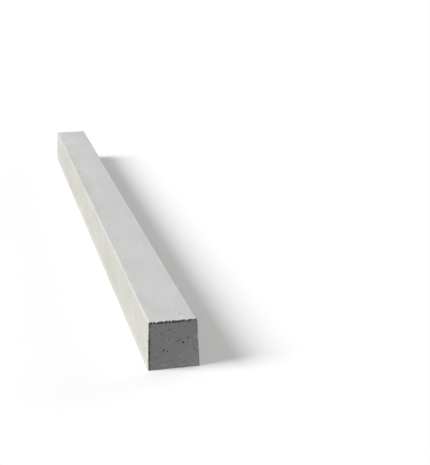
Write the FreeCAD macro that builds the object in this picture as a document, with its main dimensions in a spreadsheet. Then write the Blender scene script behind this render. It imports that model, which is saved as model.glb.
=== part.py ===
"""Precast concrete fence post, lying on its wide face.

The post is a plain bar with a drafted section: the mould opens upwards, so the face cast
against its bottom is the narrow one, and the open side, trowelled flat, is the wide one.
X runs across the post, Y along it and Z up from the wide face to the narrow face.
The origin is the centre of the wide face, and the weathered end is the one at minus Y.
All sizes are in millimetres.
"""

import FreeCAD
import Part
import Sketcher
import os

doc = FreeCAD.newDocument("ConcreteFencePost")

# Driving dimensions, in millimetres

main_sizes = {
    "post_length": 1800,  # from end to end
    "wide_face_width": 100,  # across the trowelled face, between its sharp corners
    "narrow_face_width": 92,  # across the moulded face, between its sharp corners
    "post_depth": 95,  # from the wide face to the narrow face
    "narrow_arris_radius": 3,  # moulded arrises along the narrow face
    "wide_arris_radius": 2,  # trowelled arrises along the wide face
    "corner_spall_width": 2.6,  # worn lower corner of the weathered end, across the post
    "corner_spall_height": 2.2,  # the same, up the end
    "corner_spall_reach": 2.0,  # the same, along the post
}

# Blow holes are air bubbles that the mould's end plate left open in the weathered end. Each is
# a sphere: its inset is from one side of the wide face, its offset from the nearer long face,
# and it is sunk by the depth of its centre behind the end.
blow_holes = [
    {"side": "left", "inset": 31.4, "face": "wide", "offset": 37.5, "radius": 1.8, "sunk": 0.3},
    {"side": "left", "inset": 38.9, "face": "wide", "offset": 35.1, "radius": 1.6, "sunk": 0.2},
    {"side": "right", "inset": 30.5, "face": "narrow", "offset": 44.5, "radius": 2.0, "sunk": 0.4},
    {"side": "right", "inset": 21.0, "face": "narrow", "offset": 36.5, "radius": 1.5, "sunk": 0.2},
    {"side": "right", "inset": 9.5, "face": "wide", "offset": 36.0, "radius": 1.7, "sunk": -0.2},
    {"side": "right", "inset": 5.5, "face": "wide", "offset": 31.5, "radius": 1.2, "sunk": 0.0},
    {"side": "left", "inset": 46.0, "face": "wide", "offset": 16.0, "radius": 1.1, "sunk": 0.0},
    {"side": "left", "inset": 43.0, "face": "narrow", "offset": 16.5, "radius": 2.6, "sunk": -1.5},
]

# Chips broken from the weathered end's upper arris. Each is a long shallow scoop: its inset is
# from one side of the wide face to its middle, its drop goes down the end, and its reach along
# the narrow face.
arris_chips = [
    {"side": "left", "inset": 8.0, "half_length": 4.6, "drop": 2.9, "reach": 3.0},
    {"side": "left", "inset": 26.0, "half_length": 6.2, "drop": 3.2, "reach": 3.6},
    {"side": "left", "inset": 37.3, "half_length": 3.4, "drop": 3.4, "reach": 4.2},
    {"side": "left", "inset": 43.4, "half_length": 2.4, "drop": 3.4, "reach": 4.8},
    {"side": "right", "inset": 39.6, "half_length": 13.2, "drop": 3.0, "reach": 3.4},
    {"side": "right", "inset": 15.5, "half_length": 9.0, "drop": 2.2, "reach": 2.4},
]

sizes = doc.addObject("Spreadsheet::Sheet", "Sizes")


def numbered(name, scoops):
    """Sizes of like scoops under numbered names, such as blow_hole_3_radius."""
    named = {}
    for number, scoop in enumerate(scoops, start=1):
        for size, value in scoop.items():
            if not isinstance(value, str):
                named[f"{name}_{number}_{size}"] = value
    return named


all_sizes = main_sizes | numbered("blow_hole", blow_holes) | numbered("arris_chip", arris_chips)
for row, (name, value) in enumerate(all_sizes.items(), start=1):
    sizes.set(f"A{row}", name)
    sizes.set(f"B{row}", str(value))
    sizes.setAlias(f"B{row}", name)
doc.recompute()

# The one casting

body = doc.addObject("PartDesign::Body", "ConcretePost")
body.Label = "concrete_post"
section_plane = next(plane for plane in body.Origin.OriginFeatures if plane.Role == "XZ_Plane")


def draw_section():
    """Sketch the section: two level lines for the long faces, joined by the drafted sides."""
    sketch = body.newObject("Sketcher::SketchObject", "Section")
    sketch.AttachmentSupport = [(section_plane, "")]
    sketch.MapMode = "FlatFace"
    half_wide = sizes.wide_face_width / 2
    half_narrow = sizes.narrow_face_width / 2
    corners = [
        FreeCAD.Vector(-half_wide, 0, 0),
        FreeCAD.Vector(half_wide, 0, 0),
        FreeCAD.Vector(half_narrow, sizes.post_depth, 0),
        FreeCAD.Vector(-half_narrow, sizes.post_depth, 0),
    ]
    wide, right, narrow, left = range(4)
    start, end = 1, 2
    horizontal_axis, vertical_axis = -1, -2
    for index, corner in enumerate(corners):
        sketch.addGeometry(Part.LineSegment(corner, corners[(index + 1) % 4]), False)
    for line in (wide, right, narrow, left):
        sketch.addConstraint(Sketcher.Constraint("Coincident", line, end, (line + 1) % 4, start))
    sketch.addConstraint(Sketcher.Constraint("PointOnObject", wide, start, horizontal_axis))
    sketch.addConstraint(Sketcher.Constraint("Symmetric", wide, start, wide, end, vertical_axis))
    sketch.addConstraint(Sketcher.Constraint("Symmetric", narrow, start, narrow, end, vertical_axis))
    driven = [
        ("DistanceX", wide, start, wide, end, "wide_face_width"),
        ("DistanceX", narrow, end, narrow, start, "narrow_face_width"),
        ("DistanceY", wide, end, narrow, start, "post_depth"),
    ]
    for kind, line_a, point_a, line_b, point_b, size in driven:
        value = getattr(sizes, size)
        index = sketch.addConstraint(Sketcher.Constraint(kind, line_a, point_a, line_b, point_b, value))
        sketch.renameConstraint(index, size)
        sketch.setExpression(f"Constraints.{size}", f"Sizes.{size}")
    return sketch


def cast_bar(section):
    """Carry the section along the post, half its length each way."""
    bar = body.newObject("PartDesign::Pad", "Bar")
    bar.Profile = section
    bar.SideType = "Symmetric"
    bar.setExpression("Length", "Sizes.post_length")
    section.Visibility = False
    doc.recompute()
    return bar


def round_arrises(base, name, height, radius):
    """Round the two long edges of the casting that lie at one height."""
    height_tolerance = 0.01
    long_edges = []
    for number, edge in enumerate(base.Shape.Edges, start=1):
        box = edge.BoundBox
        runs_along = box.YLength > sizes.post_length / 2
        at_height = max(abs(box.ZMin - height), abs(box.ZMax - height)) < height_tolerance
        if runs_along and at_height:
            long_edges.append(f"Edge{number}")
    fillet = body.newObject("PartDesign::Fillet", name)
    fillet.Base = (base, long_edges)
    fillet.setExpression("Radius", f"Sizes.{radius}")
    doc.recompute()
    return fillet


def place(feature, side, inset, height):
    """Set a scoop on the weathered end, by its inset from one side and its height."""
    across = "-" if side == "left" else ""
    feature.setExpression("Placement.Base.x", f"{across}(Sizes.wide_face_width / 2 - {inset})")
    feature.setExpression("Placement.Base.z", height)


def scoop_blow_holes():
    """Open each bubble in the weathered end as a sphere centred near its plane."""
    for number, hole in enumerate(blow_holes, start=1):
        name = f"Sizes.blow_hole_{number}"
        height = f"{name}_offset"
        if hole["face"] == "narrow":
            height = f"Sizes.post_depth - {height}"
        bubble = body.newObject("PartDesign::SubtractiveSphere", f"BlowHole{number}")
        place(bubble, hole["side"], f"{name}_inset", height)
        bubble.setExpression("Placement.Base.y", f"{name}_sunk - Sizes.post_length / 2")
        bubble.setExpression("Radius", f"{name}_radius")


def scoop_arris_chips():
    """Break each chip from the weathered end's upper arris as half of a long ellipsoid."""
    for number, chip in enumerate(arris_chips, start=1):
        name = f"Sizes.arris_chip_{number}"
        scoop = body.newObject("PartDesign::SubtractiveEllipsoid", f"ArrisChip{number}")
        place(scoop, chip["side"], f"{name}_inset", "Sizes.post_depth")
        scoop.setExpression("Placement.Base.y", "-Sizes.post_length / 2")
        scoop.setExpression("Radius1", f"{name}_drop")
        scoop.setExpression("Radius2", f"{name}_half_length")
        scoop.setExpression("Radius3", f"{name}_reach")


def wear_lower_corner():
    """Round off the weathered end's lower right corner, where the post is dragged."""
    spall = body.newObject("PartDesign::SubtractiveEllipsoid", "CornerSpall")
    place(spall, "right", "0", "0")
    spall.setExpression("Placement.Base.y", "-Sizes.post_length / 2")
    spall.setExpression("Radius1", "Sizes.corner_spall_height")
    spall.setExpression("Radius2", "Sizes.corner_spall_width")
    spall.setExpression("Radius3", "Sizes.corner_spall_reach")


bar = cast_bar(draw_section())
narrow_rounded = round_arrises(bar, "NarrowArrises", sizes.post_depth, "narrow_arris_radius")
round_arrises(narrow_rounded, "WideArrises", 0, "wide_arris_radius")
scoop_arris_chips()
wear_lower_corner()
scoop_blow_holes()
doc.recompute()

# Checks before anything is written

for feature in doc.Objects:
    if "Invalid" in feature.State or "Error" in feature.State:
        raise RuntimeError(f"{feature.Label} failed: {feature.State}")

steps = [feature for feature in body.Group if feature.isDerivedFrom("PartDesign::Feature")]
for before, after in zip(steps, steps[1:]):
    if after.Shape.Volume >= before.Shape.Volume:
        raise RuntimeError(f"{after.Label} removes nothing")

casting = body.Shape
if casting.isNull() or not casting.isValid() or len(casting.Solids) != 1:
    raise RuntimeError("the casting is not one valid solid")

os.makedirs("parts", exist_ok=True)
casting.exportStep(f"parts/{body.Label}.step")
print(f"{body.Label}: {casting.Volume / 1000:.1f} cubic centimetres")
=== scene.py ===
"""A precast concrete fence post, lying on its wide face on a pale floor."""

import math

import bpy
import numpy as np
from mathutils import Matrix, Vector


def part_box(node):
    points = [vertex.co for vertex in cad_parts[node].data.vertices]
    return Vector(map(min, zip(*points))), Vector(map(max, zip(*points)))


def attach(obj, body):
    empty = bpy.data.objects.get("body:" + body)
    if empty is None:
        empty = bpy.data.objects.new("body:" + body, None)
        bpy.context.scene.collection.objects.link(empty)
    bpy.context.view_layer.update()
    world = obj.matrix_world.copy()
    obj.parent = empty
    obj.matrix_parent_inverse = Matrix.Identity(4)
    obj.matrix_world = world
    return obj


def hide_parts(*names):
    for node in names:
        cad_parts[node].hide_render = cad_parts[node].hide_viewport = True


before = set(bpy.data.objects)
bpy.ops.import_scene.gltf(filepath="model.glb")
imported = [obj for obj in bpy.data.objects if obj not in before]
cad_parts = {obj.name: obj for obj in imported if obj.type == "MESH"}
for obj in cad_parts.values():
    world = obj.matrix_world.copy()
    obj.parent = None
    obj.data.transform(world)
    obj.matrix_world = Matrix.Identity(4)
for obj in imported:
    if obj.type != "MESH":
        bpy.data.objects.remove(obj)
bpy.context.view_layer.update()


# The casting: one drafted bar of pale grey concrete, vibrated into an open steel mould and struck
# from it a day later. Three long faces are as the mould left them and the wide one was trowelled.
# Both ends were cast against thin plates and are painted darker than the long faces, partly as their own
# darker skin and partly as painted shade; the weathered one has blow holes.

MM = 0.001
lowest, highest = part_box("concrete_post")
near_end, far_end = lowest[1], highest[1]
post_depth = highest[2]
wide_face = 100 * MM
narrow_face = 92 * MM
wide_arris = 2 * MM
narrow_arris = 3 * MM

# The section's sharp corners, in the order wide left, wide right, narrow right, narrow left.
corners = np.array([
    (-wide_face / 2, 0.0),
    (wide_face / 2, 0.0),
    (narrow_face / 2, post_depth),
    (-narrow_face / 2, post_depth),
])
side_count = len(corners)
arris_radii = np.array([wide_arris, wide_arris, narrow_arris, narrow_arris])
lean = math.atan2((wide_face - narrow_face) / 2, post_depth)
half_turns = math.pi / 4 + np.array([lean, lean, -lean, -lean]) / 2


def section_side(side, share):
    """Points of one side of the section, from the middle of one arris to the middle of the next.

    The side is half an arc, a straight run and half an arc, walked by length: share 0 is the middle
    of the first arris and share 1 the middle of the second.
    """
    first, last = side, (side + 1) % side_count
    run = corners[last] - corners[first]
    along = run / np.linalg.norm(run)
    outward = np.array([along[1], -along[0]])
    radius_a, radius_b = arris_radii[first], arris_radii[last]
    cut_a = radius_a * math.tan(half_turns[first])
    cut_b = radius_b * math.tan(half_turns[last])
    arc_a = radius_a * half_turns[first]
    arc_b = radius_b * half_turns[last]
    straight = np.linalg.norm(run) - cut_a - cut_b
    walked = share * (arc_a + straight + arc_b)
    angle_a = np.clip(arc_a - walked, 0, None) / radius_a
    angle_b = np.clip(walked - arc_a - straight, 0, None) / radius_b
    forward = cut_a + np.clip(walked - arc_a, 0, straight)
    forward += radius_b * np.sin(angle_b) - radius_a * np.sin(angle_a)
    inward = radius_a * (1 - np.cos(angle_a)) + radius_b * (1 - np.cos(angle_b))
    return corners[first] + forward[:, None] * along - inward[:, None] * outward


def crowded(count):
    """Shares from 0 to 1 that crowd towards both ends: even steps less part of a sine wave."""
    crowding = 0.75
    even = np.linspace(0, 1, count + 1)
    return even - crowding * np.sin(2 * np.pi * even) / (2 * np.pi)


def graded(start, stop, first_step, last_step):
    """Places from start to stop whose steps change evenly from the first to the last."""
    count = math.ceil(2 * (stop - start) / (first_step + last_step))
    steps = np.linspace(first_step, last_step, count)
    walked = np.concatenate([[0], np.cumsum(steps)])
    return start + (stop - start) * walked / walked[-1]


# Rings of points round the section, in blocks: points to a side, and the rings' places along the post.
# They are closest at the weathered end, where the chips are. Each block has half as many points as the
# one before it, and the last, at the plain end, twice as many.
side_points = 144
chip_zone = near_end + 8 * MM
mark_zone = near_end + 44 * MM
wear_zone = near_end + 90 * MM
plain_zone = far_end - 16 * MM
finest_step = 0.45 * MM
chip_step = 0.9 * MM
mark_step = 1.1 * MM
wear_step = 2.0 * MM
long_step = 2.6 * MM
plain_step = 1.8 * MM
plain_end_step = 0.7 * MM
blocks = [
    (side_points, graded(near_end, chip_zone, finest_step, chip_step)),
    (side_points // 2, graded(chip_zone + mark_step, mark_zone, mark_step, wear_step)),
    (side_points // 4, graded(mark_zone + wear_step, wear_zone, wear_step, long_step)),
    (side_points // 8, graded(wear_zone + long_step, plain_zone - long_step, long_step, long_step)),
    (side_points // 4, graded(plain_zone, far_end, plain_step, plain_end_step)),
]

points = []
ring_share = []
ring_indices = []
for steps, places in blocks:
    shares = crowded(steps)[:-1]
    ring = np.concatenate([section_side(side, shares) for side in range(side_count)])
    grid = np.empty((len(places), side_count * steps, 3))
    grid[:, :, 0] = ring[:, 0]
    grid[:, :, 1] = places[:, None]
    grid[:, :, 2] = ring[:, 1]
    count_so_far = sum(len(block) for block in points)
    ring_indices.append(count_so_far + np.arange(grid.shape[0] * grid.shape[1]).reshape(grid.shape[:2]))
    points.append(grid.reshape(-1, 3))
    round_ring = np.concatenate([side + shares for side in range(side_count)])
    ring_share.append(np.tile(round_ring, len(places)))


def cap_points(steps):
    """A grid over an end, as x and z: the section's four sides blended across and up.

    Each point is what lies between the two faces plus what lies between the two sides, less the blend
    of the four corners.
    """
    shares = crowded(steps)
    low = section_side(0, shares)
    right = section_side(1, shares)
    high = section_side(2, shares)[::-1]
    left = section_side(3, shares)[::-1]
    across = shares[:, None, None]
    up = shares[None, :, None]
    grid = (1 - up) * low[:, None] + up * high[:, None]
    grid = grid + (1 - across) * left[None] + across * right[None]
    grid = grid - (1 - across) * ((1 - up) * low[0] + up * high[0])
    return grid - across * ((1 - up) * low[-1] + up * high[-1])


def cap_indices(steps, ring, first_inner):
    """The point numbers of an end's grid: the ring's own round its edge, new ones inside."""
    grid = np.empty((steps + 1, steps + 1), int)
    closed = np.append(ring, ring[0])
    grid[:, 0] = closed[:steps + 1]
    grid[steps, :] = closed[steps:2 * steps + 1]
    grid[::-1, steps] = closed[2 * steps:3 * steps + 1]
    grid[0, ::-1] = closed[3 * steps:]
    grid[1:-1, 1:-1] = first_inner + np.arange((steps - 1) ** 2).reshape(steps - 1, steps - 1)
    return grid


caps = []
end_rings = ((blocks[0][0], ring_indices[0][0], near_end), (blocks[-1][0], ring_indices[-1][-1], far_end))
for steps, ring, place in end_rings:
    inner = cap_points(steps)[1:-1, 1:-1].reshape(-1, 2)
    first_inner = sum(len(block) for block in points)
    points.append(np.stack([inner[:, 0], np.full(len(inner), place), inner[:, 1]], axis=1))
    ring_share.append(np.zeros(len(inner)))
    caps.append(cap_indices(steps, ring, first_inner))

points = np.concatenate(points)
ring_share = np.concatenate(ring_share)


def ring_quads(rings):
    """Faces between neighbouring rings of one block, outward side first."""
    ahead = np.roll(rings, -1, axis=1)
    return np.stack([rings[:-1], rings[1:], ahead[1:], ahead[:-1]], axis=-1).reshape(-1, 4)


def halving_strip(many, few, many_first):
    """Triangles between a ring and one with half as many points: three to each of the few."""
    few_ahead = np.roll(few, -1)
    start, middle, stop = many[0::2], many[1::2], np.roll(many[0::2], -1)
    strip = np.concatenate([
        np.stack([start, few, middle], axis=1),
        np.stack([middle, few, few_ahead], axis=1),
        np.stack([middle, few_ahead, stop], axis=1),
    ])
    return strip if many_first else strip[:, ::-1]


def cap_quads(grid):
    """Faces of an end's grid, turned to face towards minus Y."""
    faces = np.stack([grid[:-1, :-1], grid[1:, :-1], grid[1:, 1:], grid[:-1, 1:]], axis=-1)
    return faces.reshape(-1, 4)


side_quads = np.concatenate([ring_quads(rings) for rings in ring_indices])
near_quads = cap_quads(caps[0])
far_quads = cap_quads(caps[1])[:, ::-1]
strips = []
for before, after in zip(ring_indices, ring_indices[1:]):
    if before.shape[1] > after.shape[1]:
        strips.append(halving_strip(before[-1], after[0], True))
    else:
        strips.append(halving_strip(after[0], before[-1], False))
strips = np.concatenate(strips)


def gather(centre, reach, movable):
    """Draw grid points together round a centre, so that a small hole has enough of them.

    Each goes a share of its way to the centre, which falls as a square from the middle to the reach.
    """
    greatest_share = 0.55
    away = points - centre
    nearness = np.clip(1 - np.linalg.norm(away, axis=1) / reach, 0, 1)
    points[:] -= (greatest_share * nearness ** 2 * movable)[:, None] * away


# Blow holes in the weathered end, and fainter marks: x, z, half width, half height and depth, all in
# millimetres.
blow_holes = np.array([
    (-18.6, 37.5, 1.9, 1.9, 2.2),
    (-11.1, 35.1, 1.6, 1.8, 2.0),
    (19.5, 50.5, 2.1, 1.9, 2.4),
    (29.0, 58.5, 1.4, 1.7, 1.7),
    (40.5, 36.0, 2.0, 1.3, 1.3),
    (44.5, 31.5, 1.2, 1.2, 0.8),
    (-4.0, 16.0, 1.2, 1.1, 1.0),
    (-8.2, 79.4, 1.5, 1.7, 0.7),
    (-6.4, 77.4, 1.8, 1.9, 0.9),
    (8.6, 54.4, 2.4, 1.2, 0.9),
    (12.6, 55.4, 2.2, 1.3, 0.8),
    (16.0, 56.6, 1.8, 0.9, 0.7),
    (21.6, 10.7, 1.4, 1.4, 0.8),
    (28.2, 9.5, 1.2, 1.2, 0.5),
    (-32.5, 25.0, 1.7, 2.3, 0.7),
    (-20.0, 57.4, 1.3, 2.6, 0.6),
    (-20.3, 70.8, 1.2, 3.0, 0.6),
    (-29.1, 71.1, 1.8, 2.4, 0.5),
    (-40.4, 85.8, 2.2, 1.4, 0.6),
    (-40.4, 19.8, 1.4, 2.0, 0.5),
    (-23.0, 44.0, 1.6, 2.0, 0.5),
    (43.2, 82.5, 1.3, 2.6, 0.6),
    (32.8, 19.4, 1.0, 2.4, 0.6),
    (29.0, 26.5, 1.1, 1.4, 0.6),
    (27.8, 38.5, 1.3, 1.2, 0.6),
    (13.8, 30.1, 1.0, 1.0, 0.5),
]) * MM
# One more is in the narrow face near that end: x, distance from the end, and half widths and depth.
top_hole = np.array((19.2, 34.6, 1.3, 6.5, 0.5)) * MM

on_near_end = np.zeros(len(points), bool)
on_near_end[caps[0].ravel()] = True
inside_near_end = np.zeros(len(points), bool)
inside_near_end[caps[0][1:-1, 1:-1].ravel()] = True
gather_reach = 3.5
for x, z, half_width in blow_holes[:, :3]:
    gather((x, near_end, z), gather_reach * half_width, inside_near_end)
face_tolerance = 0.01 * MM
on_narrow_face = points[:, 2] > post_depth - face_tolerance
top_centre = np.array((top_hole[0], near_end + top_hole[1], post_depth))
gather(top_centre, gather_reach * top_hole[3], on_narrow_face)
cast_points = points.copy()


def lattice_noise(places, cell, seed):
    """Smooth noise from 0 to 1: random values on a cubic lattice, blended by a smooth step.

    A lattice point's value comes from its three whole numbers and the seed, each times a large odd
    number, mixed bit by bit.
    """
    mix_x, mix_y, mix_z, mix_seed, mix_all = 73856093, 19349663, 83492791, 2654435761, 1274126177
    every_bit, low_bits = 0xFFFFFFFF, 0xFFFF
    scaled = places / cell
    base = np.floor(scaled).astype(np.int64)
    blend = scaled - base
    blend = blend * blend * (3 - 2 * blend)
    total = np.zeros(len(places))
    for corner in np.ndindex(2, 2, 2):
        at = base + corner
        mixed = at[:, 0] * mix_x ^ at[:, 1] * mix_y ^ at[:, 2] * mix_z ^ seed * mix_seed
        mixed = (mixed ^ (mixed >> 13)) * mix_all & every_bit
        value = ((mixed ^ (mixed >> 16)) & low_bits) / low_bits
        weight = np.where(np.array(corner) == 1, blend, 1 - blend).prod(axis=1)
        total += weight * value
    return total


def scrape(outward, corner, depth):
    """Wear an arris back to a plane across its diagonal, depth below the sharp corner.

    Each point above the plane drops square on to it. Returns how far each point moved.
    """
    outward = np.array(outward) / np.linalg.norm(outward)
    moved = np.clip((points - corner) @ outward + depth, 0, None)
    points[:] -= moved[:, None] * outward
    return moved


def scoop(centre, radii, inward, ragged=0.0):
    """Break an ellipsoid out of the surface: each point inside it goes one way, to its far wall.

    Inside is where the squared distance in radii, plus a ragged field, is under 1. The way gone is the
    larger root of the ellipsoid's equation along the line. Returns how far each point moved.
    """
    inward = np.array(inward) / np.linalg.norm(inward)
    start = (points - centre) / radii
    way = inward / radii
    reach = start @ way
    outside = (start ** 2).sum(axis=1) - 1 + ragged
    root = np.sqrt(np.clip(reach ** 2 - (way @ way) * outside, 0, None))
    moved = np.where(outside < 0, (root - reach) / (way @ way), 0)
    points[:] += moved[:, None] * inward
    return moved


def wandering(width, wander):
    """A width that wanders with a noise: 0.4 of itself where that is 0, up to 1.6 where it is 1."""
    least = 0.4
    swing = 1.2
    return width * (least + swing * wander)


# Noises that the wear and the breaks share, and the ragged outline that they give a break.
broad_noise = lattice_noise(cast_points, cell=9 * MM, seed=21)
fine_noise = lattice_noise(cast_points, cell=2.2 * MM, seed=22)
patchy_noise = lattice_noise(cast_points, cell=3 * MM, seed=24)
ragged_noise = lattice_noise(cast_points, cell=5 * MM, seed=23) ** 2
patchy_swing = 1.6
fine_swing = 0.8
ragged_break = patchy_swing * (patchy_noise - 0.5) + fine_swing * (fine_noise - 0.5)
deep_break = 0.5 * MM
random = np.random.default_rng(seed=7)

# Wear along the four long arrises: a scraped band that wanders, a paler band wider than that, partly rubbed
# and partly a painted highlight on the rounded arris, and nicks knocked out in handling. Scrapes, bites and
# the nicks' sink are shares of the arris's radius. The first arris points down to the left, and each of the
# others a quarter turn on.
first_half_turns = 1.25
slow_share = 0.4
quick_share = 0.6
least_scrape = 0.30
scrape_swing = 0.22
scrape_reach = 3
no_scrape = -1
rubbed_and_highlight_width = 4.5 * MM
rubbed_and_highlight_level = 0.5
nick_count = 16
nick_margin = 20 * MM
nick_half_lengths = (3, 8)
nick_bites = (0.45, 0.65)
nick_sink = 0.1
worn_and_highlight = np.zeros(len(points))
broken = np.zeros(len(points))
along_only = cast_points * (0, 1, 0)
for arris, (corner, radius) in enumerate(zip(corners, arris_radii)):
    turned = math.pi * (first_half_turns + arris / 2)
    outward = np.array([math.cos(turned), 0, math.sin(turned)])
    line = np.array([corner[0], 0, corner[1]])
    distance = np.linalg.norm((cast_points - line) * (1, 0, 1), axis=1)
    slow_wander = lattice_noise(along_only, cell=70 * MM, seed=arris)
    quick_wander = lattice_noise(along_only, cell=16 * MM, seed=10 + arris)
    wander = slow_share * slow_wander + quick_share * quick_wander
    scraped_depth = radius * (least_scrape + scrape_swing * wander)
    scrape(outward, line, np.where(distance < scrape_reach * radius, scraped_depth, no_scrape))
    worn_and_highlight = np.maximum(worn_and_highlight, rubbed_and_highlight_level + wander - distance / wandering(rubbed_and_highlight_width, wander))
    nick_line = line - nick_sink * radius * outward
    for nick in range(nick_count):
        place = random.uniform(near_end + nick_margin, far_end - nick_margin)
        half_length = random.uniform(*nick_half_lengths) * MM
        bite = radius * random.uniform(*nick_bites)
        moved = scoop(nick_line + (0, place, 0), np.array([bite, half_length, bite]), -outward)
        broken = np.maximum(broken, moved / deep_break)

# Both ends are a little uneven, and their arrises are ragged, most at the weathered end. An edge is its
# outward direction in the section, a sharp corner on it, its least and greatest wear in millimetres, and
# what its foot adds. The left one is scraped and carries a painted highlight.
side_across, side_up = math.cos(lean), math.sin(lean)
end_edges = [
    ((0, 1), (0, post_depth), 0.7, 1.6, 0.0),
    ((-side_across, side_up), (-wide_face / 2, 0), 0.5, 1.0, 1.2),
    ((side_across, side_up), (wide_face / 2, 0), 0.2, 0.55, 0.0),
    ((0, -1), (0, 0), 0.3, 0.8, 0.0),
]
height = cast_points[:, 2]
foot_height = 36 * MM
at_foot = np.clip(1 - height / foot_height, 0, 1)
hollow_depth = 0.25 * MM
ripple_depth = 0.1 * MM
end_hollows = hollow_depth * broad_noise + ripple_depth * fine_noise
weathered_wear = 1.0
plain_wear = 0.6
highlight_full_depth = 0.1 * MM
edge_highlight = np.zeros(len(points))
post_ends = ((caps[0], near_end, -1, weathered_wear), (caps[1], far_end, 1, plain_wear))
for cap, end, outside, severity in post_ends:
    on_cap = np.unique(cap)
    points[on_cap, 1] -= outside * end_hollows[on_cap]
    for (out_x, out_z), (corner_x, corner_z), least, most, foot in end_edges:
        depth = severity * MM * (least + (most - least) * ragged_noise + foot * at_foot)
        moved = scrape((out_x, outside, out_z), (corner_x, end, corner_z), depth)
        broken = np.maximum(broken, moved / deep_break)
        if out_x < 0:
            edge_highlight = np.maximum(edge_highlight, np.clip(moved / highlight_full_depth, 0, 1))

# The painted highlight goes on along the lower half of the left side for a short way, and fades out.
side_half = wide_face / 2 - height * math.tan(lean)
from_left = side_half + cast_points[:, 0]
highlight_length = 17 * MM
highlight_top = 56 * MM
highlight_fade = 30 * MM
highlight_start = 1.2
highlight_strength = 0.7
side_tolerance = 0.2 * MM
by_end = np.clip(highlight_start - (cast_points[:, 1] - near_end) / highlight_length, 0, 1)
lower_half = np.clip((highlight_top - height) / highlight_fade, 0, 1)
on_left_side = from_left < side_tolerance
edge_highlight = np.maximum(edge_highlight, highlight_strength * by_end * lower_half * on_left_side)

# Breaks along the weathered end's upper arris, from left to right: start, stop, drop down the end and reach
# along the post, in millimetres. Each deepens to its right, where it ends in a step. A point's lag is its
# way back from that step, in lengths of the break.
upper_breaks = np.array([
    (-54.0, -38.1, 4.4, 4.4),
    (-38.1, -33.4, 3.6, 5.0),
    (-31.4, -18.2, 4.0, 5.0),
    (-17.6, -9.4, 4.0, 5.6),
    (-10.2, -4.1, 4.0, 6.2),
    (-4.6, 4.1, 3.6, 4.2),
    (-8.0, 24.1, 3.8, 3.6),
    (22.8, 37.5, 3.6, 4.2),
    (36.0, 50.0, 3.0, 3.8),
]) * MM
# Small chips down the left arris, by height, half length and bite, and the lower corner that was dragged
# round, by its width, reach along the post and height, all in millimetres.
left_chips = np.array([
    (87.0, 5.0, 0.9),
    (79.0, 2.6, 1.0),
    (69.8, 2.4, 1.9),
    (62.5, 2.2, 1.3),
    (57.0, 2.4, 1.2),
    (52.2, 1.8, 1.7),
    (43.8, 2.6, 1.2),
    (36.0, 2.0, 1.1),
    (21.0, 2.0, 1.4),
    (7.5, 2.0, 1.3),
]) * MM
corner_spall = np.array([2.6, 2.0, 2.2]) * MM
# Painted shade for the faces of the breaks and chips below, which turn from the light.
break_shade = np.zeros(len(points))
step_wander = 1.6 * MM
step_blur = 1.5 * MM
beyond_step = 9.0
lag_weight = 0.5
ragged_weight = 0.4
least_band = 2.0 * MM
upper_band = np.full(len(points), least_band)
for start, stop, drop, reach in upper_breaks:
    length = stop - start
    lag = (stop - cast_points[:, 0] + step_wander * (patchy_noise - 0.5)) / length
    ragged = np.where(lag < 0, beyond_step, lag_weight * lag + ragged_weight * ragged_break)
    moved = scoop((stop, near_end, post_depth), (length, reach, drop), (0, 1, -1), ragged)
    break_shade = np.maximum(break_shade, moved / deep_break)
    inside = np.clip(np.minimum(lag, 1 - lag) * length / step_blur, 0, 1)
    upper_band = np.maximum(upper_band, inside * drop)
for z, half_length, bite in left_chips:
    x = z * math.tan(lean) - wide_face / 2
    moved = scoop((x, near_end, z), (bite, bite, half_length), (1, 1, 0), ragged_break)
    break_shade = np.maximum(break_shade, moved / deep_break)
moved = scoop((wide_face / 2, near_end, 0), corner_spall, (-1, 1, 1), ragged_break)
broken = np.maximum(broken, moved / deep_break)

# The holes and marks are sunk into the weathered end, and are painted darker the deeper they are, as
# painted shade in them.
dark_depth = 1.2 * MM
pit = np.zeros(len(points))
for x, z, half_width, half_height, depth in blow_holes:
    moved = scoop((x, near_end, z), (half_width, depth, half_height), (0, 1, 0))
    pit = np.maximum(pit, moved / dark_depth)
moved = scoop(top_centre, top_hole[2:], (0, 0, -1))
pit = np.maximum(pit, moved / dark_depth)

# Painted shade lies in a band under the weathered end's upper breaks, whose broken faces turn from the
# light, thinning out to the right, and in one behind its left arris, given by its width at some heights and
# weaker high up. The long faces are rubbed pale just before both ends.
upper_blur = 0.9 * MM
upper_swing = 1.4 * MM
upper_band += upper_swing * (fine_noise - 0.5)
upper_shade = np.clip((upper_band - (post_depth - height)) / upper_blur + 0.5, 0, 1)
left_blur = 2.0 * MM
left_heights = np.array([0, 9, 20, 31, 42, 53, 64, 75, 86, 95]) * MM
left_widths = np.array([5.8, 5.6, 4.0, 6.2, 4.1, 5.5, 4.1, 3.3, 2.8, 3.0]) * MM
left_patchiness = 3.0
left_band = np.interp(height, left_heights, left_widths)
left_band += MM * (left_patchiness * (patchy_noise - 0.5) + fine_noise - 0.5)
left_shade = np.clip((left_band - from_left) / left_blur + 0.5, 0, 1)
high_start = 60 * MM
high_fade = 15 * MM
high_loss = 0.15
left_level = 0.70
left_swing = 0.2
high_up = np.clip((height - high_start) / high_fade, 0, 1)
left_strength = left_level + left_swing * fine_noise - high_loss * high_up
band = np.maximum(upper_shade, left_strength * left_shade)
break_shade = np.maximum(break_shade, band * on_near_end * (1 - edge_highlight))
right_start = 68 * MM
right_fade = 24 * MM
right_loss = 0.3
rightward = np.clip((from_left - right_start) / right_fade, 0, 1)
break_shade = np.clip(break_shade, 0, 1) * (1 - right_loss * rightward)
end_rub = 18 * MM
end_rub_level = 0.8
for from_end in (cast_points[:, 1] - near_end, far_end - cast_points[:, 1]):
    worn_and_highlight = np.maximum(worn_and_highlight, end_rub_level - from_end / wandering(end_rub, broad_noise))

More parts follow.
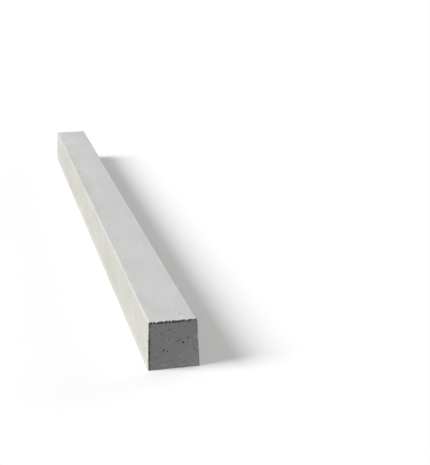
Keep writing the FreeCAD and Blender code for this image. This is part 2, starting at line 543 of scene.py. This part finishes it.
# Pale specks of laitance, the cement's own scum, on the weathered end: x, z, half width and half height in
# millimetres, and strength.
pale_specks = [
    (-1.7, 56.3, 1.5, 1.9, 0.7),
    (-7.8, 52.0, 1.4, 1.5, 0.6),
    (13.5, 24.5, 1.2, 2.4, 0.7),
    (-17.1, 30.8, 1.2, 1.2, 0.4),
    (41.1, 59.2, 2.4, 1.8, 0.5),
    (46.9, 61.0, 2.6, 9.5, 0.8),
    (38.0, 5.5, 12.0, 5.5, 0.24),
    (21.6, 54.2, 2.4, 1.1, 0.7),
    (14.5, 4.9, 5.5, 1.6, 0.5),
    (-18.3, 7.8, 7.0, 2.0, 0.4),
    (32.5, 40.8, 1.8, 1.0, 0.4),
    (36.3, 33.4, 1.8, 0.9, 0.4),
    (-3.2, 3.4, 4.0, 1.2, 0.3),
    (-40.6, 69.8, 1.4, 1.8, 0.5),
    (-41.2, 62.0, 1.1, 1.4, 0.4),
]
speck_fullness = 1.2
pale = np.zeros(len(points))
for x, z, half_width, half_height, strength in pale_specks:
    across = (cast_points[:, 0] - x * MM) / (half_width * MM)
    up = (height - z * MM) / (half_height * MM)
    speck = np.clip(speck_fullness * (1 - across ** 2 - up ** 2), 0, 1)
    pale = np.maximum(pale, strength * speck * on_near_end)

# Nothing stands out past the cast faces.
points[:, 0] = np.clip(points[:, 0], lowest[0], highest[0])
points[:, 1] = np.clip(points[:, 1], near_end, far_end)
points[:, 2] = np.clip(points[:, 2], 0, post_depth)

# The mesh. Its shading is smooth, but stays sharp at the folds of breaks and holes.
quads = np.concatenate([side_quads, near_quads, far_quads])
sharp_fold = math.radians(38)
casting_mesh = bpy.data.meshes.new("post_casting")
casting_mesh.from_pydata(points.tolist(), [], quads.tolist() + strips.tolist())
casting_mesh.polygons.foreach_set("use_smooth", np.ones(len(quads) + len(strips), bool))
casting_mesh.set_sharp_from_angle(angle=sharp_fold)

# One value a point for each of the material's masks.
on_ends = np.zeros(len(points))
for cap in caps:
    on_ends[cap.ravel()] = 1
masks = {
    "end_face": on_ends * (1 - edge_highlight),
    "worn_and_highlight": worn_and_highlight,
    "edge_highlight": edge_highlight,
    "broken": broken,
    "break_shade": break_shade,
    "pit": pit,
    "pale": pale,
}
for name, values in masks.items():
    attribute = casting_mesh.attributes.new(name, "FLOAT", "POINT")
    attribute.data.foreach_set("value", np.clip(values, 0, 1).astype(np.float32))

# A flat map of the surface, for baked colours. Each long side is two strips of half the post's length,
# one above the other, and both ends lie in the last row at twice the scale. A face that closes a ring has
# shares near 0 beside shares near 4, so its low ones go up by a whole ring.
sheet_side = 1040 * MM
strip_pitch = 104 * MM
strip_width = 100 * MM
sheet_gap = 3 * MM
end_scale = 2
end_pitch = 220 * MM
end_row = 2 * side_count * strip_pitch
corner_points = np.concatenate([quads.ravel(), strips.ravel()])
face_corners = np.concatenate([np.full(len(quads), 4), np.full(len(strips), 3)])
face_starts = np.cumsum(face_corners) - face_corners
share = ring_share[corner_points]
widest = np.repeat(np.maximum.reduceat(share, face_starts), face_corners)
share = np.where(widest - share > side_count / 2, share + side_count, share)
side = np.repeat(np.floor(np.add.reduceat(share, face_starts) / face_corners), face_corners)
place = cast_points[corner_points]
middle = np.repeat(np.add.reduceat(place[:, 1], face_starts) / face_corners, face_corners)
far_half = middle > 0
along = place[:, 1] - np.where(far_half, 0, near_end) + sheet_gap
across = (2 * side + far_half) * strip_pitch + (share - side) * strip_width + sheet_gap
first_near = side_quads.size
first_far = first_near + near_quads.size
last_far = first_far + far_quads.size
for start, stop, shift in ((first_near, first_far, 0), (first_far, last_far, end_pitch)):
    along[start:stop] = end_scale * (place[start:stop, 0] + wide_face / 2) + sheet_gap + shift
    across[start:stop] = end_scale * place[start:stop, 2] + end_row + sheet_gap
flat_map = casting_mesh.uv_layers.new(name="OFBake")
flat_map.data.foreach_set("uv", (np.stack([along, across], axis=1) / sheet_side).ravel())
casting_mesh.validate()

casting = bpy.data.objects.new("post_casting", casting_mesh)
bpy.context.collection.objects.link(casting)
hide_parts("concrete_post")
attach(casting, "root")


def new_node(tree, kind, **inputs):
    """Add a node, with values or sockets for its inputs by name (underscores for spaces)."""
    node = tree.nodes.new(kind)
    for name, value in inputs.items():
        plug(tree, value, node.inputs[name.replace("_", " ")])
    return node


def plug(tree, value, socket):
    """Give an input a fixed value, or link another node's output to it."""
    if isinstance(value, bpy.types.NodeSocket):
        tree.links.new(value, socket)
    else:
        socket.default_value = value


def reckon(tree, operation, *values, clamp=False):
    """The result of one sum on up to three values or sockets."""
    node = tree.nodes.new("ShaderNodeMath")
    node.operation = operation
    node.use_clamp = clamp
    for socket, value in zip(node.inputs, values):
        plug(tree, value, socket)
    return node.outputs[0]


def blend_colour(tree, factor, first, second, kind="MIX"):
    """Two colours or colour sockets mixed by a factor.

    A Mix node has sockets for several kinds of value under the same names, so they go by number.
    """
    factor_in, first_in, second_in, colour_out = 0, 6, 7, 2
    node = tree.nodes.new("ShaderNodeMix")
    node.data_type = "RGBA"
    node.blend_type = kind
    for number, value in ((factor_in, factor), (first_in, first), (second_in, second)):
        plug(tree, value, node.inputs[number])
    return node.outputs[colour_out]


def lay(tree, under, over, mask, strength=1.0):
    """One colour laid over another where a mask is, up to a strength."""
    return blend_colour(tree, reckon(tree, "MULTIPLY", mask, strength), under, over)


def shade(tree, colour, value, swing):
    """A colour made lighter or darker by half the swing, as a value goes from 0 to 1."""
    factor = reckon(tree, "MULTIPLY_ADD", value, swing, 1 - swing / 2)
    return blend_colour(tree, 1.0, colour, factor, "MULTIPLY")


def ramp(tree, value, start, stop):
    """A value stretched so that start becomes 0 and stop becomes 1, and held there."""
    node = new_node(tree, "ShaderNodeMapRange", Value=value, From_Min=start, From_Max=stop)
    return node.outputs["Result"]


def noise_value(tree, vector, cell, detail, roughness=0.5):
    """Noise from 0 to 1 whose lumps are about one cell across, in metres."""
    node = new_node(tree, "ShaderNodeTexNoise", Vector=vector, Scale=1 / cell, Detail=detail)
    node.inputs["Roughness"].default_value = roughness
    return node.outputs["Fac"]


def mask_value(tree, name):
    """One of the casting's own masks."""
    node = tree.nodes.new("ShaderNodeAttribute")
    node.attribute_name = name
    return node.outputs["Fac"]


def drawn_out(tree, vector, shrink):
    """Coordinates that draw a pattern out along the post, by shrinking them that way."""
    return new_node(tree, "ShaderNodeMapping", Vector=vector, Scale=(1, shrink, 1)).outputs[0]


def new_group(name, outputs):
    """A node group that reads object coordinates, the socket that gives them, and its outputs by name."""
    group = bpy.data.node_groups.new(name, "ShaderNodeTree")
    group.interface.new_socket("Vector", in_out="INPUT", socket_type="NodeSocketVector")
    for output in outputs:
        group.interface.new_socket(output, in_out="OUTPUT", socket_type="NodeSocketFloat")
    start = group.nodes.new("NodeGroupInput")
    stop = group.nodes.new("NodeGroupOutput")
    return group, start.outputs["Vector"], stop.inputs


def place_group(tree, group, vector):
    """Put a group into a material and return its outputs."""
    node = tree.nodes.new("ShaderNodeGroup")
    node.node_tree = group
    tree.links.new(vector, node.inputs["Vector"])
    return node.outputs


def cement_skin():
    """Cement skin: clouds of two sizes, a slower change of tint, mottles, stains and trowel strokes.

    Each is noise, some drawn out along the post, and all but the strokes are stretched from 0 to 1.
    """
    group, vector, results = new_group("cement_skin", ["Clouds", "Tint", "Mottles", "Stains", "Strokes"])
    small_share = 0.35
    broad = noise_value(group, drawn_out(group, vector, shrink=0.45), cell=90 * MM, detail=3)
    small = noise_value(group, vector, cell=16 * MM, detail=4)
    broad_part = reckon(group, "MULTIPLY", broad, 1 - small_share)
    clouds = reckon(group, "MULTIPLY_ADD", small, small_share, broad_part)
    tint = noise_value(group, drawn_out(group, vector, shrink=0.35), cell=60 * MM, detail=2)
    mottles = noise_value(group, vector, cell=5 * MM, detail=5, roughness=0.6)
    stains = noise_value(group, drawn_out(group, vector, shrink=0.5), cell=45 * MM, detail=3)
    strokes = noise_value(group, drawn_out(group, vector, shrink=0.07), cell=7 * MM, detail=3)
    group.links.new(ramp(group, clouds, start=0.3, stop=0.7), results["Clouds"])
    group.links.new(ramp(group, tint, start=0.35, stop=0.65), results["Tint"])
    group.links.new(ramp(group, mottles, start=0.25, stop=0.75), results["Mottles"])
    group.links.new(ramp(group, stains, start=0.46, stop=0.66), results["Stains"])
    group.links.new(strokes, results["Strokes"])
    return group


def open_cells(tree, vector, cell, closed_share, widest):
    """Round spots in the few cells of a pattern whose own random value passes the closed share.

    A spot's radius grows with that value, up to the widest, and its rim is a little soft.
    """
    rim_outside = -0.015
    rim_inside = 0.02
    cells = new_node(tree, "ShaderNodeTexVoronoi", Vector=vector, Scale=1 / cell)
    chance = new_node(tree, "ShaderNodeSeparateColor", Color=cells.outputs["Color"]).outputs[0]
    size = reckon(tree, "MULTIPLY", ramp(tree, chance, closed_share, 1.0), widest / cell)
    inside = reckon(tree, "SUBTRACT", size, cells.outputs["Distance"])
    return ramp(tree, inside, rim_outside, rim_inside)


def sand_and_pores():
    """Sand under the cement skin, as fine noise, and small pin holes and pale specks in a few cells."""
    group, vector, results = new_group("sand_and_pores", ["Sand", "Pores", "Specks"])
    sand = noise_value(group, vector, cell=1.1 * MM, detail=3, roughness=0.65)
    pores = open_cells(group, vector, cell=9 * MM, closed_share=0.62, widest=1.2 * MM)
    specks = open_cells(group, vector, cell=32 * MM, closed_share=0.78, widest=2.4 * MM)
    group.links.new(sand, results["Sand"])
    group.links.new(pores, results["Pores"])
    group.links.new(specks, results["Specks"])
    return group


def ragged_patch(tree, vector, centre, half_sizes, mottles):
    """A patch that is 1 about its centre and falls to 0 near its half sizes.

    What falls is the distance from the centre in half sizes plus the mottles, so the edge is ragged.
    """
    full_until = 0.85
    gone_from = 1.35
    scale = [1 / half for half in half_sizes]
    offset = [-middle / half for middle, half in zip(centre, half_sizes)]
    scaled = new_node(tree, "ShaderNodeMapping", Vector=vector, Location=offset, Scale=scale)
    distance = tree.nodes.new("ShaderNodeVectorMath")
    distance.operation = "LENGTH"
    tree.links.new(scaled.outputs[0], distance.inputs[0])
    edge = reckon(tree, "ADD", distance.outputs["Value"], mottles)
    return ramp(tree, edge, gone_from, full_until)


# Marks on the long faces: pale where the skin is scraped and dark where it is bruised. Each is its x,
# distance from the weathered end and z, its half sizes the same three ways, in millimetres, and its
# strength.
pale_marks = [
    ((11.7, 73, 95), (3.0, 12, 4), 0.45),
    ((22.8, 24, 95), (2.4, 8, 4), 0.40),
    ((14.6, 35, 95), (2.2, 11, 4), 0.45),
    ((16.5, 16, 95), (14, 6, 4), 0.20),
    ((-19.9, 561, 95), (3.5, 15, 4), 0.35),
    ((19.6, 472, 95), (3.5, 15, 4), 0.35),
    ((-48.2, 27, 42.5), (4, 12, 5), 0.40),
    ((-47.4, 178, 60.8), (4, 15, 6), 0.35),
]
dark_marks = [
    ((-26.4, 77, 95), (3.0, 12, 4), 0.35),
    ((-36.9, 1027, 95), (4, 20, 4), 0.30),
    ((-49.2, 101, 19.2), (4, 14, 5), 0.40),
    ((-47.4, 142, 62.0), (4, 14, 5), 0.35),
]
laitance = (0.74, 0.745, 0.74, 1)
bruise_grey = (0.42, 0.41, 0.38, 1)


def scuffed(tree, colour, place, mottles):
    """A colour with the pale and the dark marks of the long faces laid on it."""
    for marks, mark_colour in ((pale_marks, laitance), (dark_marks, bruise_grey)):
        for (x, from_end, z), half_sizes, strength in marks:
            centre = (x * MM, near_end + from_end * MM, z * MM)
            half_sizes = [half * MM for half in half_sizes]
            patch = ragged_patch(tree, place, centre, half_sizes, mottles)
            colour = lay(tree, colour, mark_colour, patch, strength)
    return colour


def side_tones(tree, axes, skin):
    """The sides' colour: olive and warm in turn, as the tint goes.

    It is greyer towards the plain end, paler along the foot, and a little darker in the far half, a painted
    shade.
    """
    side_olive = (0.572, 0.576, 0.521, 1)
    side_warm = (0.600, 0.586, 0.546, 1)
    far_grey = (0.596, 0.594, 0.574, 1)
    foot_pale = (0.662, 0.646, 0.596, 1)
    far_shade_by = -0.05
    colour = blend_colour(tree, skin["Tint"], side_olive, side_warm)
    colour = lay(tree, colour, far_grey, ramp(tree, axes["Y"], start=600 * MM, stop=850 * MM))
    colour = lay(tree, colour, foot_pale, ramp(tree, axes["Z"], start=26 * MM, stop=4 * MM))
    # Painted shade: a little darker in the far half.
    past_middle = ramp(tree, axes["Y"], start=100 * MM, stop=400 * MM)
    before_end = ramp(tree, axes["Y"], start=880 * MM, stop=750 * MM)
    far_shade = reckon(tree, "MULTIPLY", past_middle, before_end)
    light_left = reckon(tree, "MULTIPLY_ADD", far_shade, far_shade_by, 1.0)
    return blend_colour(tree, 1.0, colour, light_left, "MULTIPLY")


def top_tones(tree, axes):
    """The narrow face's colour, greyer to the right."""
    top_left = (0.606, 0.612, 0.602, 1)
    top_right = (0.572, 0.582, 0.574, 1)
    return blend_colour(tree, ramp(tree, axes["X"], start=-25 * MM, stop=40 * MM), top_left, top_right)


def arris_stain(tree, axes, skin, on_top):
    """How stained the narrow face is along its left arris, most round a damp place past the middle."""
    damp_place = 240 * MM
    damp_strength = 0.36
    stain_strength = 0.3
    leftward = ramp(tree, axes["X"], start=-12 * MM, stop=-40 * MM)
    by_left_arris = reckon(tree, "MULTIPLY", leftward, on_top)
    from_damp = reckon(tree, "ABSOLUTE", reckon(tree, "SUBTRACT", axes["Y"], damp_place))
    by_damp = ramp(tree, from_damp, start=380 * MM, stop=140 * MM)
    damp = reckon(tree, "MULTIPLY", by_damp, damp_strength)
    stained = reckon(tree, "MULTIPLY_ADD", skin["Stains"], stain_strength, damp)
    return reckon(tree, "MULTIPLY", stained, by_left_arris)


def end_tones(tree, axes, skin):
    """The ends' colour: dark, partly their own skin and partly painted shade, and mottled, with a lilac
    cast at the upper left, paler at the lower right.

    The pale specks lie on it. The lower right is where z less 0.6 of x is low.
    """
    # The end colours hold painted shade besides the ends' own darker skin.
    end_upper = (0.345, 0.356, 0.351, 1)
    end_left = (0.352, 0.350, 0.364, 1)
    end_low_right = (0.423, 0.428, 0.425, 1)
    slant = -0.6
    leftward = ramp(tree, axes["X"], start=-8 * MM, stop=-28 * MM)
    upward = ramp(tree, axes["Z"], start=26 * MM, stop=50 * MM)
    upper_left = reckon(tree, "MULTIPLY", leftward, upward)
    diagonal = reckon(tree, "MULTIPLY_ADD", axes["X"], slant, axes["Z"])
    colour = blend_colour(tree, upper_left, end_upper, end_left)
    colour = lay(tree, colour, end_low_right, ramp(tree, diagonal, start=45 * MM, stop=-25 * MM))
    colour = shade(tree, colour, skin["Mottles"], swing=0.40)
    return lay(tree, colour, laitance, mask_value(tree, "pale"))


def grained_and_shaded(tree, colour, skin, grain, end_face):
    """A colour with sand all over, and painted shade: in pores, fainter on the ends, in the breaks and in
    the holes.
    """
    break_grey = (0.40, 0.39, 0.37, 1)
    # Painted shade, near black, for breaks and pores; the holes have their own.
    painted_shade_grey = (0.080, 0.081, 0.080, 1)
    hole_shade_grey = (0.06, 0.06, 0.058, 1)
    pore_level = 0.55
    end_pore_loss = -0.4
    break_shade_level = 0.75
    break_shade_swing = 0.4
    colour = shade(tree, colour, grain["Sand"], swing=0.34)
    # Pin holes are painted dark as their shade, less on the ends.
    pore_strength = reckon(tree, "MULTIPLY_ADD", end_face, end_pore_loss, pore_level)
    colour = lay(tree, colour, painted_shade_grey, grain["Pores"], strength=pore_strength)
    colour = lay(tree, colour, break_grey, mask_value(tree, "broken"), strength=0.3)
    break_shade_strength = reckon(tree, "MULTIPLY_ADD", skin["Mottles"], break_shade_swing, break_shade_level, clamp=True)
    colour = lay(tree, colour, painted_shade_grey, mask_value(tree, "break_shade"), strength=break_shade_strength)
    # Painted shade in the blow holes, darker the deeper they are.
    return lay(tree, colour, hole_shade_grey, mask_value(tree, "pit"))


def fine_relief(tree, skin, grain, end_face, on_bed):
    """The height of the fine relief: sand, sunk pores, trowel strokes below and mottles on the ends."""
    pore_weight = -2.0
    stroke_weight = 2.0
    mottle_weight = 1.5
    bed_strokes = reckon(tree, "MULTIPLY", skin["Strokes"], on_bed)
    end_mottles = reckon(tree, "MULTIPLY", skin["Mottles"], end_face)
    relief = reckon(tree, "MULTIPLY_ADD", grain["Pores"], pore_weight, grain["Sand"])
    relief = reckon(tree, "MULTIPLY_ADD", bed_strokes, stroke_weight, relief)
    return reckon(tree, "MULTIPLY_ADD", end_mottles, mottle_weight, relief)


def concrete_material():
    """Pale moulded concrete with darker ends, partly painted shade, arrises rubbed and painted pale as
    highlights, and painted shade in its breaks and holes.
    """
    stain_olive = (0.50, 0.485, 0.42, 1)
    rubbed_and_highlight_pale = (0.635, 0.635, 0.605, 1)
    highlight_white = (0.77, 0.77, 0.742, 1)
    least_roughness = 0.8
    roughness_swing = 0.12

    material = bpy.data.materials.new("moulded_concrete")
    material.use_nodes = True
    tree = material.node_tree
    shader = tree.nodes["Principled BSDF"]
    shader.inputs["Specular IOR Level"].default_value = 0.25
    place = tree.nodes.new("ShaderNodeTexCoord").outputs["Object"]
    axes = new_node(tree, "ShaderNodeSeparateXYZ", Vector=place).outputs
    skin = place_group(tree, cement_skin(), place)
    grain = place_group(tree, sand_and_pores(), place)
    end_face = mask_value(tree, "end_face")
    below_top = ramp(tree, axes["Z"], start=post_depth, stop=post_depth - narrow_arris)
    above_bed = ramp(tree, axes["Z"], start=0.0, stop=wide_arris)
    on_side = reckon(tree, "MULTIPLY", below_top, above_bed)
    on_top = reckon(tree, "SUBTRACT", 1.0, below_top)
    on_bed = reckon(tree, "SUBTRACT", 1.0, above_bed)

    # The long faces come first, then the ends and the painted highlight on the edge, and then sand, broken
    # faces and painted shade over them all.
    colour = blend_colour(tree, on_side, top_tones(tree, axes), side_tones(tree, axes, skin))
    colour = blend_colour(tree, arris_stain(tree, axes, skin, on_top), colour, stain_olive)
    colour = shade(tree, colour, skin["Clouds"], swing=0.16)
    colour = shade(tree, colour, skin["Mottles"], swing=0.10)
    # Paler where the arrises are rubbed, with a painted highlight along them.
    colour = lay(tree, colour, rubbed_and_highlight_pale, mask_value(tree, "worn_and_highlight"), strength=0.5)
    colour = lay(tree, colour, rubbed_and_highlight_pale, grain["Specks"], strength=0.35)
    colour = scuffed(tree, colour, place, skin["Mottles"])
    colour = blend_colour(tree, end_face, colour, end_tones(tree, axes, skin))
    # A painted highlight down the weathered end's left edge and the side just behind it.
    colour = lay(tree, colour, highlight_white, mask_value(tree, "edge_highlight"))
    colour = grained_and_shaded(tree, colour, skin, grain, end_face)
    tree.links.new(colour, shader.inputs["Base Color"])

    roughness = reckon(tree, "MULTIPLY_ADD", grain["Sand"], roughness_swing, least_roughness)
    tree.links.new(roughness, shader.inputs["Roughness"])
    relief = fine_relief(tree, skin, grain, end_face, on_bed)
    bump = new_node(tree, "ShaderNodeBump", Strength=0.6, Distance=0.35 * MM, Height=relief)
    tree.links.new(bump.outputs["Normal"], shader.inputs["Normal"])
    return material


casting_mesh.materials.append(concrete_material())


# The floor: a wide pale sheet that carries the post and takes its shadow. The camera sees it white,
# and it sends less light back on to the post than it shows.

floor_half = 15.0
floor_drop = 0.1 * MM
floor_mesh = bpy.data.meshes.new("floor")
floor_corners = np.array([(-1, -1), (1, -1), (1, 1), (-1, 1)]) * floor_half
floor_mesh.from_pydata([(x, y, -floor_drop) for x, y in floor_corners.tolist()], [], [(0, 1, 2, 3)])
floor = bpy.data.objects.new("floor", floor_mesh)
bpy.context.collection.objects.link(floor)


def seen_directly(tree):
    """1 for rays that show a surface itself, straight on, mirrored or through glass, else 0."""
    light_path = tree.nodes.new("ShaderNodeLightPath").outputs
    mirrored = reckon(tree, "MAXIMUM", light_path["Is Glossy Ray"], light_path["Is Transmission Ray"])
    return reckon(tree, "MAXIMUM", light_path["Is Camera Ray"], mirrored)


floor_material = bpy.data.materials.new("pale_floor")
floor_material.use_nodes = True
floor_tree = floor_material.node_tree
floor_shader = floor_tree.nodes["Principled BSDF"]
floor_shader.inputs["Roughness"].default_value = 1.0
floor_shader.inputs["Specular IOR Level"].default_value = 0.0
bounced_grey = (0.40, 0.40, 0.39, 1)
shown_white = (1.0, 1.0, 1.0, 1)
shown_glow = 0.03
floor_seen = seen_directly(floor_tree)
floor_colour = blend_colour(floor_tree, floor_seen, bounced_grey, shown_white)
floor_tree.links.new(floor_colour, floor_shader.inputs["Base Color"])
floor_shader.inputs["Emission Color"].default_value = shown_white
floor_glow = reckon(floor_tree, "MULTIPLY", floor_seen, shown_glow)
floor_tree.links.new(floor_glow, floor_shader.inputs["Emission Strength"])
floor_mesh.materials.append(floor_material)


# The light: an even white room, a broad soft lamp high on the left and a weak one behind on the right.
# The camera sees the room white, and it lights the post at a lower level.

room_level = 0.38
world = bpy.data.worlds.new("white_room")
bpy.context.scene.world = world
world.use_nodes = True
room_light = world.node_tree.nodes["Background"]
room_light.inputs["Color"].default_value = (1, 1, 1, 1)
room_seen = seen_directly(world.node_tree)
room_strength = reckon(world.node_tree, "MULTIPLY_ADD", room_seen, 1 - room_level, room_level)
world.node_tree.links.new(room_strength, room_light.inputs["Strength"])


def add_lamp(name, direction, level, spread):
    """A distant lamp that shines from a direction. At level 1 a white face square to it renders white."""
    lamp = bpy.data.lights.new(name, "SUN")
    lamp.energy = level * math.pi
    lamp.angle = math.radians(spread)
    lamp_object = bpy.data.objects.new(name, lamp)
    bpy.context.collection.objects.link(lamp_object)
    start = np.array(direction, float) / np.linalg.norm(direction)
    azimuth = math.atan2(start[0], -start[1])
    lamp_object.rotation_euler = (math.acos(start[2]), 0, azimuth)


add_lamp("left_lamp", direction=(-0.80, 0.02, 0.58), level=0.945, spread=30)
add_lamp("right_lamp", direction=(0.84, 0.52, 0.16), level=0.30, spread=40)


# The camera: it stands left of the post's axis and looks down along it, past the weathered end. Its focal
# length is in pixels of a picture 465 high, the longer side of the frame.

camera_place = (-0.3400, -2.6271, 0.8063)
turned_right = math.radians(13.655)
tipped_down = math.radians(17.082)
focal_pixels = 1024.3
frame_height = 465
camera_data = bpy.data.cameras.new("camera")
camera_data.sensor_width = 36.0
camera_data.lens = focal_pixels * camera_data.sensor_width / frame_height
camera = bpy.data.objects.new("camera", camera_data)
camera.location = camera_place
camera.rotation_euler = (math.pi / 2 - tipped_down, 0, -turned_right)
bpy.context.collection.objects.link(camera)
bpy.context.scene.camera = camera
bpy.context.scene.view_settings.view_transform = "Standard"
